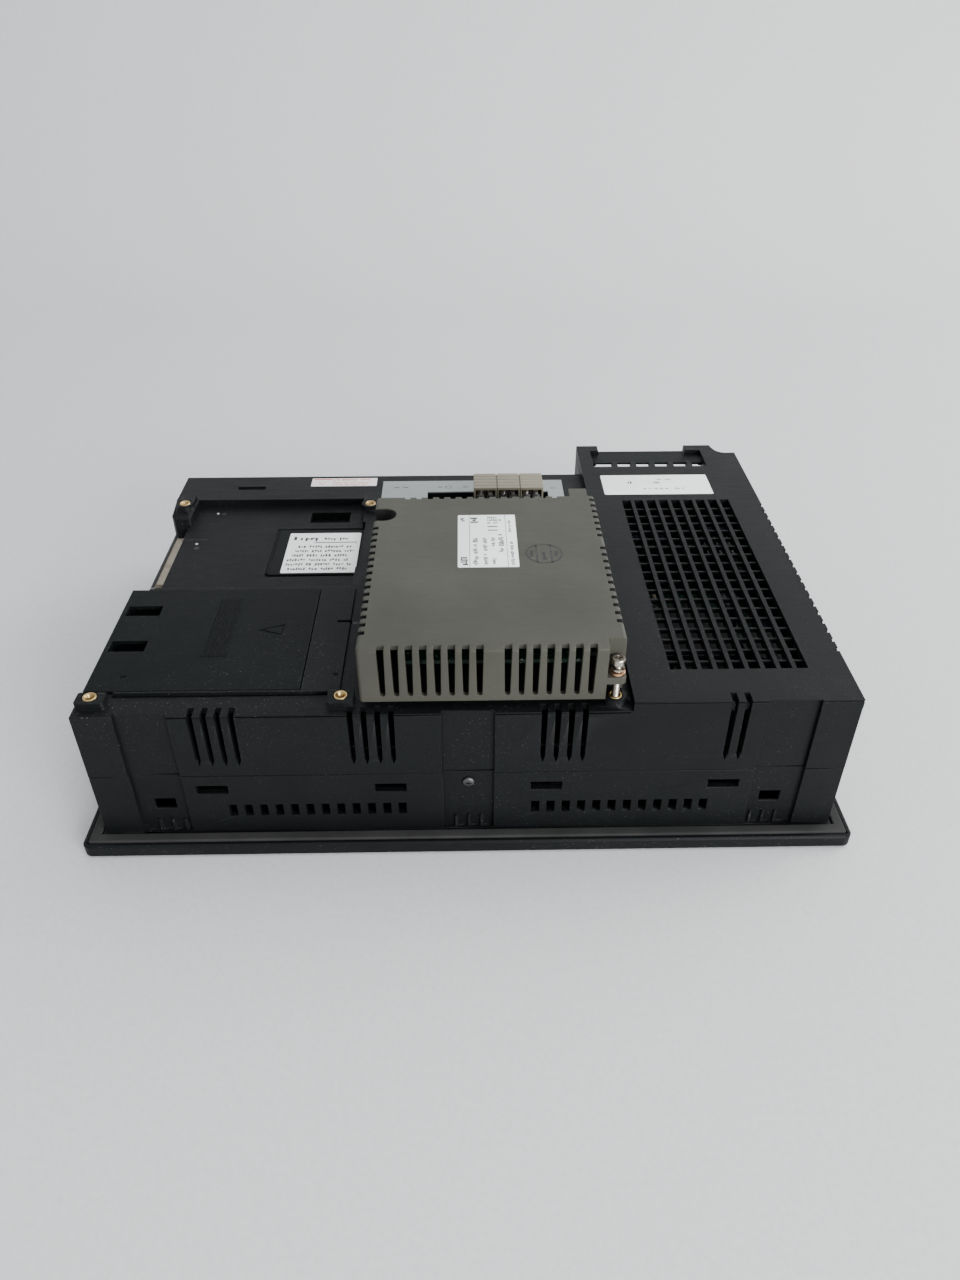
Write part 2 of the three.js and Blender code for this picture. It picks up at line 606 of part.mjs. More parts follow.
place('dsub_shell', dsubShell(), STEEL);
place('dsub_insert', prismX(dsubOutline(18.5, 3.2), DSUB.faceX + 1, DSUB.wallX + 5), DARK);
[-1, 1].forEach((side, i) => {
  const y = DSUB.y + side * DSUB.screws / 2;
  place(`dsub_jackscrew_${i + 1}`, cut(
    join(rodX(2.4, DSUB.faceX + 0.2, DSUB.wallX - 1.4, y, DSUB.z, 6),
      rodX(1.3, DSUB.wallX - 2, DSUB.wallX + 4, y, DSUB.z, 12)),
    rodX(1.1, DSUB.faceX - 1, DSUB.wallX - 2.5, y, DSUB.z, 10),
  ), BRASS);
});

for (const [i, x] of [-107, -77].entries()) {
  const jack = block(x - 8.5, x + 8.5, 66, 81, 41.5, 54.5);
  const mouth = join(block(x - 6, x + 6, 70, 82, 43.5, 51), block(x - 3, x + 3, 70, 82, 50, 53));
  place(`modular_jack_${i + 1}`, cut(jack, mouth), DARK);
}

place('label_plate', cut(
  block(-42, 49.5, 11, 75, LOW + 0.05, LOW + 0.65),
  block(BAY.x0, BAY.x1, 10, BAY.y1, LOW - 1, LOW + 2),
), PLATE);

const PLUG = { x0: 4.2, x1: 37.9, y0: 46, y1: 61.5, z0: 62, z1: 77 };

function commHeader() {
  const { x0, x1, y0, y1, z0 } = PLUG;
  const body = block(x0, x1, y0, y1, 30.9, z0 - GAP);
  const socket = block(x0 + 2, x1 - 2, y0 + 2, y1 - 2, 54, z0 + 1);
  return cut(body, socket);
}

function commPlug() {
  const { x0, x1, y0, y1, z0, z1 } = PLUG;
  const pitch = (x1 - x0) / 3;
  const body = join(
    block(x0, x1, y0, y1, z0, z1),
    block(x0 + 2.4, x1 - 2.4, y0 + 2.4, y1 - 2.4, 55, z0 + 1),
  );
  const mouths = series(3, x0 + pitch / 2, pitch).map((x) => {
    return block(x - 4.8, x + 4.8, y0 - 1, y0 + 7, z0 + 1.6, z1 - 1.3);
  });
  const seams = series(2, x0 + pitch, pitch).flatMap((x) => [
    block(x - 0.3, x + 0.3, y0 - 1, y1 + 1, z1 - 0.8, z1 + 1),
    block(x - 0.3, x + 0.3, y0 - 1, y0 + 0.8, z0 + 1, z1 + 1),
  ]);
  const grooves = series(4, y0 + 2.8, 3.2).map((y) => {
    return block(x0 - 1, x1 + 1, y - 0.2, y + 0.2, z1 - 0.35, z1 + 2);
  });
  return cut(body, mouths, seams, grooves);
}

place('comm_header', commHeader(), DARK);
place('comm_plug', commPlug(), BEIGE);

// Interface module on the back

const TAB = { x0: 50, y1: -98.4, z0: 76, z1: 79 };

function moduleCase() {
  const { x0, x1, y0, y1, z0, z1, wall } = MODULE;
  const skirt = 5;
  const box = new RoundedBoxGeometry(x1 - x0, y1 - y0, z1 - z0 + skirt, 3, 1.6);
  box.translate((x0 + x1) / 2, (y0 + y1) / 2, (z0 + z1 - skirt) / 2);
  const outer = cut(solid(box), block(x0 - 1, x1 + 1, y0 - 1, y1 + 1, z0 - skirt - 1, z0));
  const inner = block(x0 + wall, x1 - wall, y0 + wall, y1 - wall, z0 - 1, z1 - wall);
  let shape = join(cut(outer, inner), roundedBlock(46, 54.2, y1 - 2, y1 + 6.2, 84, z1 - 0.05, 1, 2));
  // The corner with the captive screw is boxed off from the inside.
  shape = join(shape, block(TAB.x0 - wall, x1 - 0.5, y0 + 0.5, TAB.y1 + wall, TAB.z0, z1 - 0.5));
  shape = join(shape, block(x0 + 0.5, -28.5, -15, 0, 73, z1 - 0.5));
  const cuts = [
    block(TAB.x0, x1 + 1, y0 - 1, TAB.y1, TAB.z1, z1 + 1),
    block(TAB.x0, x1 + 1, y0 - 1, TAB.y1, z0 - 1, TAB.z0),
    block(x0 - 1, -34.8, -12.8, -2.2, 80, z1 + 1),
    rod(5.3, 80, z1 + 1, -35, -7.5, 20),
    rod(2.4, 72, 82, -34.7, -7.5, 12),
    rod(2, 70, TAB.z1 + 1, 54, -101.5, 12),
  ];
  for (const x of [...series(8, -30.6, 5), ...series(7, 14.4, 5)]) {
    const slot = new THREE.Shape();
    slot.moveTo(x - 1.35, z1 + 1);
    slot.lineTo(x - 0.95, 72.6);
    slot.absarc(x, 72.6, 0.95, Math.PI, 2 * Math.PI);
    slot.lineTo(x + 1.35, z1 + 1);
    cuts.push(prismY(slot, y0 - 1, y0 + wall + 0.8, 3));
  }
  const sideZ = 76;
  for (const y of series(18, -94, 5).filter((v) => Math.abs(v + 7.5) > 7)) {
    cuts.push(block(x0 - 1, x0 + wall + 0.3, y - 1.1, y + 1.1, sideZ, z1 + 1));
  }
  for (const y of series(19, -88, 5.13).filter((_, i) => i !== 11)) {
    cuts.push(block(x1 - wall - 0.3, x1 + 1, y - 1.1, y + 1.1, sideZ, z1 + 1));
  }
  for (const x of series(14, -25.5, 5)) {
    cuts.push(block(x - 1.1, x + 1.1, y1 - wall - 0.3, y1 + 1, sideZ, z1 + 1));
  }
  return cut(shape, cuts);
}

place('module_case', moduleCase(), OLIVE);

function moduleBase() {
  const { x0, x1, y0, y1, z0, wall } = MODULE;
  const inset = wall + GAP;
  const plate = block(x0 + inset, x1 - inset, y0 + inset, y1 - inset, z0, z0 + 1.6);
  return cut(plate,
    block(TAB.x0 - 1, x1, y0, TAB.y1 + 1, z0 - 1, z0 + 3),
    block(-36, -6, -62, -50, z0 - 1, z0 + 3),
    rod(5, z0 - 1, z0 + 3, -34.7, -7.5, 16),
  );
}

place('module_base', moduleBase(), DARK);
place('module_board', cut(
  join(
    block(-25, 53, -94, 3, 78, 79.6),
    block(-8, 20, -50, -22, 79.6, 83),
    block(28, 50, -20, -4, 79.6, 86),
  ),
  block(45, 54, -95, -90, 77, 90),
), BOARD);
place('module_connector', join(
  block(-33, -9, -59.2, -52.8, 62, 72),
  block(-23, -9, -59.2, -52.8, 71, 77.7),
), DARK);
place('module_label', block(-3.3, 21, -51, -9, MODULE.z1 + 0.02, MODULE.z1 + 0.17), PAPER);
place('module_washer_1', ring(2.9, 1.8, TAB.z1 + 0.1, TAB.z1 + 1.1, 54, -101.5), BRASS);
place('module_screw_1', screw(2.6, 2.6, 1.4, 19.5).translate([54, -101.5, 83.2]), STEEL);
place('module_screw_2', screw(2.6, 2.4, 1.4, 17).translate([-34.7, -7.5, 80.3]), STEEL);

// Screws through the near and far walls

place('case_screw_near', screw(2.4, 1.3, 1.1, 6).rotate([90, 0, 0])
  .translate([0, -BODY.y + POCKET.depth - 0.1, 30]), STEEL);
place('case_screw_far', screw(2.4, 1.3, 1.1, 6).rotate([-90, 0, 0])
  .translate([0, BODY.y - POCKET.depth + 0.1, 30]), STEEL);

// Function keys beside the screen

keyRows().forEach((y, i) => {
  const cap = roundedBlock(KEY.x - KEY.width / 2, KEY.x + KEY.width / 2, y - KEY.depth / 2,
    y + KEY.depth / 2, 0.4, 3.5, 1, 3);
  const flange = block(KEY.x - KEY.width / 2 - 1, KEY.x + KEY.width / 2 + 1, y - KEY.depth / 2 - 1,
    y + KEY.depth / 2 + 1, 3.3, 4.4);
  place(`key_${i + 1}`, join(cap, flange), KEYCAP);
});

export default panel;
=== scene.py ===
"""An operator panel lying on its face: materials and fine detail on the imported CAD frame."""
import json
import math
import random

import bmesh
import bpy
from mathutils import Matrix, Vector


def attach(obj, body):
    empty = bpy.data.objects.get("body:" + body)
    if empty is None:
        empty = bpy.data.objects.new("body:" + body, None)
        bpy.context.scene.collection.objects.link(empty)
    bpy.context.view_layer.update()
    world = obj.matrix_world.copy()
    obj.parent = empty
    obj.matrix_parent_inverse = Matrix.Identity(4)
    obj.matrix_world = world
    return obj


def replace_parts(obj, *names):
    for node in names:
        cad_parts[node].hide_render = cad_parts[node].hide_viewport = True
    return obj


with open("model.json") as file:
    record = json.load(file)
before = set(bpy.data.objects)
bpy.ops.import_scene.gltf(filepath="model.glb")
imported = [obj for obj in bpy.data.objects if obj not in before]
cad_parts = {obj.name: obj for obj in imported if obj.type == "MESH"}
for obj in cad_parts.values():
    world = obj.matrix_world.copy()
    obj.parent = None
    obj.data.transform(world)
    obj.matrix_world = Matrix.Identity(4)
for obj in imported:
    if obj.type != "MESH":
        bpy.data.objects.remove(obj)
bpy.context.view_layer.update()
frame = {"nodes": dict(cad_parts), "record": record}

MM = 0.001
UNIT = "unit"
dice = random.Random(7)

# Heights of the CAD faces that carry detail, in mm
PAN = 61.7             # sunk floor of the back's left part
BACK = 65.7            # back face over the boards
COVER_TOP = 69.9       # back face over the power supply
MODULE_TOP = 92.5
POWER_BOARD = 41.8     # feet of the parts on the power board

# Places on the CAD frame, in mm
INSERTS = ((-138.2, -99.4), (-46.5, -100), (54, -101.5), (-137.4, 48.8), (-46.5, 47.2), (-34.7, -7.5))
CAPTIVE = (54, -101.5)            # the module's near screw, x and y
CUP = (-35, -7.5)                 # centre of the recess over the module's far screw, x and y
STAMP = (31.4, -41)               # centre of the ring stamp, x and y
PLUG = (4.2, 37.9)                # the terminal plug's two ends along X
DSUB = (9.9, 53.6)                # centre of the D-sub connector, y and z
JACKS = (-107, -77)               # middles of the modular jacks, x
TERMINALS = (82.8, 93, 103.2)     # the terminal screws, x


# Materials

DUST = (0.42, 0.42, 0.4)
STAIN = (0.16, 0.12, 0.08)


def graph(name):
    """A new material with an unlinked Principled shader."""
    material = bpy.data.materials.new(name)
    material.use_nodes = True
    tree = material.node_tree
    tree.nodes.clear()
    shader = tree.nodes.new("ShaderNodeBsdfPrincipled")
    output = tree.nodes.new("ShaderNodeOutputMaterial")
    tree.links.new(shader.outputs[0], output.inputs[0])
    return material, tree, shader


def place(tree, stretch=(1, 1, 1), turn=(0, 0, 0)):
    """Object coordinates in metres, stretched and turned."""
    source = tree.nodes.new("ShaderNodeTexCoord")
    mapping = tree.nodes.new("ShaderNodeMapping")
    mapping.inputs["Scale"].default_value = stretch
    mapping.inputs["Rotation"].default_value = turn
    tree.links.new(source.outputs["Object"], mapping.inputs["Vector"])
    return mapping.outputs[0]


def noise(tree, where, per_metre, detail=2.0, rough=0.5):
    node = tree.nodes.new("ShaderNodeTexNoise")
    node.inputs["Scale"].default_value = per_metre
    node.inputs["Detail"].default_value = detail
    node.inputs["Roughness"].default_value = rough
    tree.links.new(where, node.inputs["Vector"])
    return node.outputs["Fac"]


def spread(tree, value, low, high, to_low=0.0, to_high=1.0):
    """Maps value from low..high to to_low..to_high, and holds it there."""
    node = tree.nodes.new("ShaderNodeMapRange")
    for socket, number in zip(("From Min", "From Max", "To Min", "To Max"), (low, high, to_low, to_high)):
        node.inputs[socket].default_value = number
    tree.links.new(value, node.inputs["Value"])
    return node.outputs["Result"]


def blend_colour(tree, factor, first, second):
    """Mixes two colours, each a tuple or a socket."""
    node = tree.nodes.new("ShaderNodeMix")
    node.data_type = "RGBA"
    tree.links.new(factor, node.inputs["Factor"])
    for socket, colour in ((node.inputs[6], first), (node.inputs[7], second)):
        if isinstance(colour, tuple):
            socket.default_value = (*colour, 1)
        else:
            tree.links.new(colour, socket)
    return node.outputs[2]


def times(tree, first, second):
    node = tree.nodes.new("ShaderNodeMath")
    node.operation = "MULTIPLY"
    tree.links.new(first, node.inputs[0])
    if isinstance(second, (int, float)):
        node.inputs[1].default_value = second
    else:
        tree.links.new(second, node.inputs[1])
    return node.outputs[0]


def bumps(tree, shader, layers):
    """Stacks (height socket, depth in metres) layers of bump on the shader."""
    normal = None
    for height, depth in layers:
        node = tree.nodes.new("ShaderNodeBump")
        node.inputs["Strength"].default_value = 1.0
        node.inputs["Distance"].default_value = depth
        tree.links.new(height, node.inputs["Height"])
        if normal is not None:
            tree.links.new(normal, node.inputs["Normal"])
        normal = node.outputs["Normal"]
    tree.links.new(normal, shader.inputs["Normal"])


def shade(colour, factor):
    return tuple(min(1.0, c * factor) for c in colour)


def moulded(name, colour, roughness, grain=12e-6, dust=0.3, wear=0.25, specular=0.5):
    """Textured injection-moulded plastic: fine grain, cloudy gloss, settled dust and rubbed marks."""
    material, tree, shader = graph(name)
    here = place(tree)
    fine = noise(tree, here, 4200, 2)
    coarse = noise(tree, here, 1300, 3)
    cloud = noise(tree, here, 22, 5, 0.6)
    rubbed = noise(tree, place(tree, (1, 9, 4), (0.2, 0.1, 0.5)), 90, 6, 0.7)
    specks = noise(tree, here, 1700, 1)
    body = blend_colour(tree, spread(tree, cloud, 0.3, 0.7), shade(colour, 0.82), shade(colour, 1.2))
    worn = times(tree, spread(tree, rubbed, 0.62, 0.8), wear)
    body = blend_colour(tree, worn, body, shade(colour, 2.1))
    dusty = times(tree, spread(tree, specks, 0.69, 0.78), times(tree, spread(tree, cloud, 0.35, 0.7), dust))
    body = blend_colour(tree, dusty, body, DUST)
    tree.links.new(body, shader.inputs["Base Color"])
    gloss = spread(tree, rubbed, 0.3, 0.75, roughness - 0.05, roughness + 0.09)
    tree.links.new(gloss, shader.inputs["Roughness"])
    shader.inputs["Specular IOR Level"].default_value = specular
    bumps(tree, shader, [(coarse, grain * 1.6), (fine, grain)])
    return material


def metal(name, colour, roughness, stain=0.3):
    """Plated or machined metal with handling stains and fine tool marks."""
    material, tree, shader = graph(name)
    cloud = noise(tree, place(tree), 160, 4)
    marks = noise(tree, place(tree), 2500, 3)
    base = blend_colour(tree, spread(tree, marks, 0.3, 0.7), shade(colour, 0.85), shade(colour, 1.08))
    base = blend_colour(tree, times(tree, spread(tree, cloud, 0.5, 0.75), stain), base, STAIN)
    tree.links.new(base, shader.inputs["Base Color"])
    gloss = spread(tree, cloud, 0.3, 0.7, roughness - 0.08, roughness + 0.15)
    tree.links.new(gloss, shader.inputs["Roughness"])
    shader.inputs["Metallic"].default_value = 1.0
    bumps(tree, shader, [(marks, 6e-6)])
    return material


def sponge_rubber(name):
    material, tree, shader = graph(name)
    here = place(tree)
    cells = noise(tree, here, 2600, 4, 0.7)
    cloud = noise(tree, here, 60, 3)
    base = blend_colour(tree, spread(tree, cloud, 0.3, 0.7), (0.010, 0.010, 0.010), (0.022, 0.022, 0.021))
    tree.links.new(base, shader.inputs["Base Color"])
    shader.inputs["Roughness"].default_value = 0.88
    bumps(tree, shader, [(cells, 6e-5)])
    return material


def circuit_board(name):
    """Green solder resist over copper tracks, with tinned pads."""
    material, tree, shader = graph(name)
    tracks = noise(tree, place(tree, (1, 6, 1)), 300, 2)
    pads = noise(tree, place(tree), 900, 1)
    base = blend_colour(tree, spread(tree, tracks, 0.48, 0.52), (0.003, 0.016, 0.009), (0.005, 0.03, 0.014))
    base = blend_colour(tree, spread(tree, pads, 0.7, 0.72), base, (0.28, 0.28, 0.26))
    tree.links.new(base, shader.inputs["Base Color"])
    tree.links.new(spread(tree, tracks, 0.4, 0.6, 0.3, 0.42), shader.inputs["Roughness"])
    bumps(tree, shader, [(tracks, 2e-5)])
    return material


def label_film(name, colour, dirt=0.35):
    """Printed film: slightly uneven white, a faint orange peel and grime."""
    material, tree, shader = graph(name)
    cloud = noise(tree, place(tree), 70, 4, 0.6)
    peel = noise(tree, place(tree), 900, 2)
    base = blend_colour(tree, times(tree, spread(tree, cloud, 0.45, 0.75), dirt), colour, shade(colour, 0.72))
    tree.links.new(base, shader.inputs["Base Color"])
    tree.links.new(spread(tree, peel, 0.3, 0.7, 0.36, 0.5), shader.inputs["Roughness"])
    bumps(tree, shader, [(peel, 1.2e-5)])
    return material


def hard_film(name):
    """The touch panel's anti-glare surface over a switched-off display."""
    material, tree, shader = graph(name)
    sparkle = noise(tree, place(tree), 6000, 2)
    smear = noise(tree, place(tree, (1, 3, 1)), 30, 5, 0.65)
    base = blend_colour(tree, spread(tree, smear, 0.3, 0.7), (0.016, 0.019, 0.022), (0.024, 0.028, 0.031))
    tree.links.new(base, shader.inputs["Base Color"])
    tree.links.new(spread(tree, smear, 0.35, 0.7, 0.14, 0.3), shader.inputs["Roughness"])
    bumps(tree, shader, [(sparkle, 3e-6)])
    return material


BLACK = moulded("black_plastic", (0.0048, 0.0056, 0.0060), 0.46, specular=0.12)
BLACK_COVER = moulded("black_plastic_cover", (0.0036, 0.0048, 0.0048), 0.44, dust=0.25, specular=0.09)
DARK = moulded("dark_plastic", (0.008, 0.008, 0.0084), 0.5, dust=0.15, specular=0.3)
CAN_SLEEVE = moulded("can_sleeve", (0.012, 0.016, 0.03), 0.3, grain=3e-6, dust=0.1)
OLIVE = moulded("olive_plastic", (0.041, 0.0405, 0.0310), 0.48,
                grain=14e-6, dust=0.12, wear=0.3, specular=0.32)
BEIGE = moulded("beige_plastic", (0.195, 0.178, 0.134), 0.44,
                grain=4e-6, dust=0.0, wear=0.35, specular=0.3)
KEY_GREY = moulded("key_film", (0.24, 0.26, 0.275), 0.5, grain=6e-6, dust=0.1)
PLATE_GREY = label_film("label_plate_film", (0.24, 0.265, 0.26))
PAPER = label_film("label_film", (0.92, 0.95, 0.93), 0.12)
WARNING = label_film("warning_film", (0.80, 0.74, 0.73), 0.2)
PRINT = label_film("print_ink", (0.010, 0.010, 0.012), 0.1)
# Flat black: real ink for the module's ring stamp, and painted shade for the pan's small holes and for
# shallow grooves
BLACK_INK_AND_SHADE = label_film("black_ink_and_hole_shadow", (0.003, 0.003, 0.003), 0.1)
RED_PRINT = label_film("red_ink", (0.55, 0.12, 0.10), 0.1)
RUBBER = sponge_rubber("gasket_rubber")
BOARD = circuit_board("solder_resist")
STEEL = metal("plated_steel", (0.60, 0.60, 0.61), 0.3)
SCREW_STEEL = metal("screw_steel", (0.46, 0.42, 0.36), 0.3, stain=0.5)
DARK_STEEL = metal("darkened_steel", (0.10, 0.10, 0.105), 0.42, stain=0.3)
SHELL_STEEL = metal("connector_shell", (0.34, 0.31, 0.25), 0.36, stain=0.35)
BRASS = metal("brass", (0.56, 0.41, 0.19), 0.32, stain=0.45)
COPPER = metal("copper_washer", (0.62, 0.36, 0.22), 0.35, stain=0.35)
SCREEN = hard_film("touch_film")


# Meshes

def body_of(node):
    """The record's body that a CAD node belongs to."""
    for body, members in frame["record"]["behaviour"]["bodies"].items():
        if node in members:
            return body
    raise ValueError(node)


def softly_shaded(mesh, degrees):
    """Smooth shading, except across edges sharper than the angle."""
    for face in mesh.polygons:
        face.use_smooth = True
    mesh.set_sharp_from_angle(angle=math.radians(degrees))


def put(name, mesh, material, body=UNIT, smooth=40):
    """Adds a mesh as a piece that rides on a body."""
    piece = bpy.data.objects.new(name, mesh)
    bpy.context.scene.collection.objects.link(piece)
    mesh.materials.clear()
    mesh.materials.append(material)
    if not mesh.has_custom_normals:
        softly_shaded(mesh, smooth)
    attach(piece, body)
    return piece


def from_bmesh(mesh_name, bm):
    bmesh.ops.recalc_face_normals(bm, faces=bm.faces)
    mesh = bpy.data.meshes.new(mesh_name)
    bm.to_mesh(mesh)
    bm.free()
    return mesh


def applied(mesh, *modifiers):
    """The mesh with modifiers applied; each is (type, {setting: value})."""
    holder = bpy.data.objects.new("holder", mesh)
    bpy.context.scene.collection.objects.link(holder)
    for kind, settings in modifiers:
        modifier = holder.modifiers.new(kind, kind)
        for key, value in settings.items():
            setattr(modifier, key, value)
    bpy.context.view_layer.update()
    evaluated = holder.evaluated_get(bpy.context.evaluated_depsgraph_get())
    result = bpy.data.meshes.new_from_object(evaluated)
    bpy.data.objects.remove(holder)
    return result


def clean_copy(node):
    """A CAD node's mesh with its flat faces whole again."""
    bm = bmesh.new()
    bm.from_mesh(frame["nodes"][node].data)
    bmesh.ops.remove_doubles(bm, verts=bm.verts, dist=2e-6)
    bmesh.ops.join_triangles(bm, faces=bm.faces, angle_face_threshold=math.radians(0.3),
                             angle_shape_threshold=math.radians(180))
    return from_bmesh(node + "_clean", bm)


def eased(node, width, material, slot, shortest):
    """The CAD node's shape with its longer sharp edges eased, in place of the node."""
    bm = bmesh.new()
    bm.from_mesh(clean_copy(node))
    weight = bm.edges.layers.float.new("bevel_weight_edge")
    for edge in bm.edges:
        sharp = edge.is_manifold and edge.calc_face_angle() > math.radians(38)
        if sharp and edge.calc_length() > shortest * MM:
            edge[weight] = 1.0
    mesh = applied(from_bmesh(node + "_weighted", bm), ("BEVEL", {
        "width": width * MM, "segments": 2, "limit_method": "WEIGHT",
        "use_clamp_overlap": False, "loop_slide": False,
    }))
    softly_shaded(mesh, 40)
    mesh = applied(mesh, ("WEIGHTED_NORMAL", {"keep_sharp": True, "weight": 100}))
    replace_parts(put(node + "_skin", mesh, material, body_of(node)), node)


# Node, width of the eased edges, material, slot and shortest edge that is eased, in mm
EASED = [
    ("front_case", 0.3, BLACK, "black_plastic", 3.3),
    ("rear_case", 0.25, BLACK, "black_plastic", 3.5),
    ("power_cover", 0.12, BLACK, "black_plastic", 1.2),
    ("terminal_cover", 0.25, BLACK_COVER, "black_plastic", 1),
    ("slide_cover", 0.12, BLACK_COVER, "black_plastic", 3.3),
    ("battery_lid", 0.25, BLACK_COVER, "black_plastic", 1),
    ("module_case", 0.25, OLIVE, "olive_plastic", 0),
    ("comm_plug", 0.15, BEIGE, "beige_plastic", 0),
    ("panel_gasket", 0.7, RUBBER, "rubber", 0),
    ("dsub_shell", 0.3, SHELL_STEEL, "steel", 1),
]
for row in EASED:
    eased(*row)

# CAD nodes that keep their own mesh
PAINTED = {
    "overlay_sheet": DARK, "backlight_unit": DARK, "power_transformer": DARK, "power_capacitor": DARK,
    "terminal_block": DARK, "card_socket": DARK, "dsub_insert": DARK, "modular_jack_1": DARK,
    "modular_jack_2": DARK, "comm_header": DARK, "module_base": DARK, "module_connector": DARK,
    "inverter_board": BOARD, "key_board": BOARD, "main_board": BOARD, "power_board": BOARD,
    "module_board": BOARD, "lcd_module": STEEL, "shield_plate": STEEL, "dsub_jackscrew_1": BRASS,
    "dsub_jackscrew_2": BRASS, "label_plate": PLATE_GREY, "battery": BEIGE, "touch_panel": SCREEN,
}
for i in range(1, 9):
    PAINTED[f"key_{i}"] = KEY_GREY
for node, material in PAINTED.items():
    mesh = frame["nodes"][node].data
    mesh.materials.clear()
    mesh.materials.append(material)


# Detail pieces

def box(bm, x0, x1, y0, y1, z0, z1):
    """Adds a box given in mm."""
    corners = [bm.verts.new((x * MM, y * MM, z * MM)) for z in (z0, z1) for y in (y0, y1) for x in (x0, x1)]
    for quad in ((0, 2, 3, 1), (4, 5, 7, 6), (0, 1, 5, 4), (2, 6, 7, 3), (0, 4, 6, 2), (1, 3, 7, 5)):
        bm.faces.new([corners[i] for i in quad])


def spot(x, y, z, axis="+z"):
    """Moves a shape built about +Z to a point in mm, with its +Z turned to an axis."""
    turns = {
        "+z": Matrix(),
        "+y": Matrix.Rotation(math.radians(-90), 4, "X"),
        "-y": Matrix.Rotation(math.radians(90), 4, "X"),
        "-x": Matrix.Rotation(math.radians(-90), 4, "Y"),
    }
    return Matrix.Translation((x * MM, y * MM, z * MM)) @ turns[axis]


def lathe(bm, profile, where=Matrix(), segments=28, closed=False):
    """Adds a solid of revolution from (radius, height) points in mm."""
    rings = []
    for radius, height in profile:
        count = segments if radius > 1e-6 else 1
        rings.append([bm.verts.new(where @ Vector((
            radius * MM * math.cos(math.tau * i / segments),
            radius * MM * math.sin(math.tau * i / segments), height * MM))) for i in range(count)])
    pairs = list(zip(rings, rings[1:]))
    if closed:
        pairs.append((rings[-1], rings[0]))
    for first, second in pairs:
        for i in range(segments):
            turn = ((first, i), (first, i + 1), (second, i + 1), (second, i))
            corners = list(dict.fromkeys(ring[k % len(ring)] for ring, k in turn))
            if len(corners) > 2:
                bm.faces.new(corners)


def swept(bm, rings):
    """Joins rings of four points into a closed bar."""
    for first, second in zip(rings, rings[1:]):
        for i in range(4):
            j = (i + 1) % 4
            bm.faces.new((first[i], first[j], second[j], second[i]))
    bm.faces.new(rings[0])
    bm.faces.new(rings[-1])


def cut_away(mesh, cutter):
    tool = bpy.data.objects.new("tool", cutter)
    bpy.context.scene.collection.objects.link(tool)
    result = applied(mesh, ("BOOLEAN", {"operation": "DIFFERENCE", "solver": "EXACT", "object": tool}))
    bpy.data.objects.remove(tool)
    return result


def softened(mesh, width):
    """The mesh with all its sharp edges eased, by a width in mm."""
    return applied(mesh, ("BEVEL", {"width": width * MM, "segments": 2, "limit_method": "ANGLE",
                                    "angle_limit": math.radians(35)}))


def thread(radius, depth, low, high, pitch):
    """Profile points of thread ridges, from the high end down."""
    points = []
    for i in range(int((high - low) / pitch)):
        top = high - i * pitch
        points += [(radius, top), (radius - depth, top - pitch / 2)]
    return points


def cross_recess(size, top, depth, where):
    """A tapered cross as a cutter."""
    bm = bmesh.new()
    arm = size * 0.24
    outline = [(-size, -arm), (-arm, -arm), (-arm, -size), (arm, -size), (arm, -arm), (size, -arm),
               (size, arm), (arm, arm), (arm, size), (-arm, size), (-arm, arm), (-size, arm)]
    upper = [bm.verts.new(where @ (Vector((x, y, top + 0.2)) * MM)) for x, y in outline]
    lower = [bm.verts.new(where @ (Vector((x * 0.6, y * 0.6, top - depth)) * MM)) for x, y in outline]
    bm.faces.new(upper)
    bm.faces.new(lower[::-1])
    for i in range(12):
        j = (i + 1) % 12
        bm.faces.new((lower[i], lower[j], upper[j], upper[i]))
    return from_bmesh("cross_recess", bm)


def cross_screw(node, where, head, height, shank, length, material=SCREW_STEEL):
    """A pan-head screw with a cross recess and a thread, in place of a CAD screw."""
    bm = bmesh.new()
    dome = [(head * math.cos(math.radians(a)), height * (0.35 + 0.65 * math.sin(math.radians(a))))
            for a in (0, 18, 36, 54, 72)]
    lathe(bm, [(0, -length)] + thread(shank, 0.16 * shank, -length, 0, 0.5)[::-1] + [(shank, 0), (head, 0)]
          + dome + [(0, height)], where)
    mesh = cut_away(from_bmesh(node + "_body", bm), cross_recess(head * 0.56, height, height * 0.7, where))
    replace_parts(put(node + "_turned", mesh, material, body_of(node), 30), node)


def inserts():
    """Brass threaded inserts with a chamfered mouth."""
    for i, (x, y) in enumerate(INSERTS, 1):
        bm = bmesh.new()
        bore = thread(1.55, 0.18, 62.6, 68.5, 0.6)
        lathe(bm, [(0, 61.5), (2.6, 61.5), (2.6, 68.75), (2.4, 68.98), (1.95, 68.98), (1.62, 68.6)]
              + bore + [(1.3, 62.3), (0, 62.3)], spot(x, y, 0), 32)
        piece = put(f"insert_{i}_turned", from_bmesh("insert", bm), BRASS, UNIT, 30)
        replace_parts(piece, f"insert_{i}")


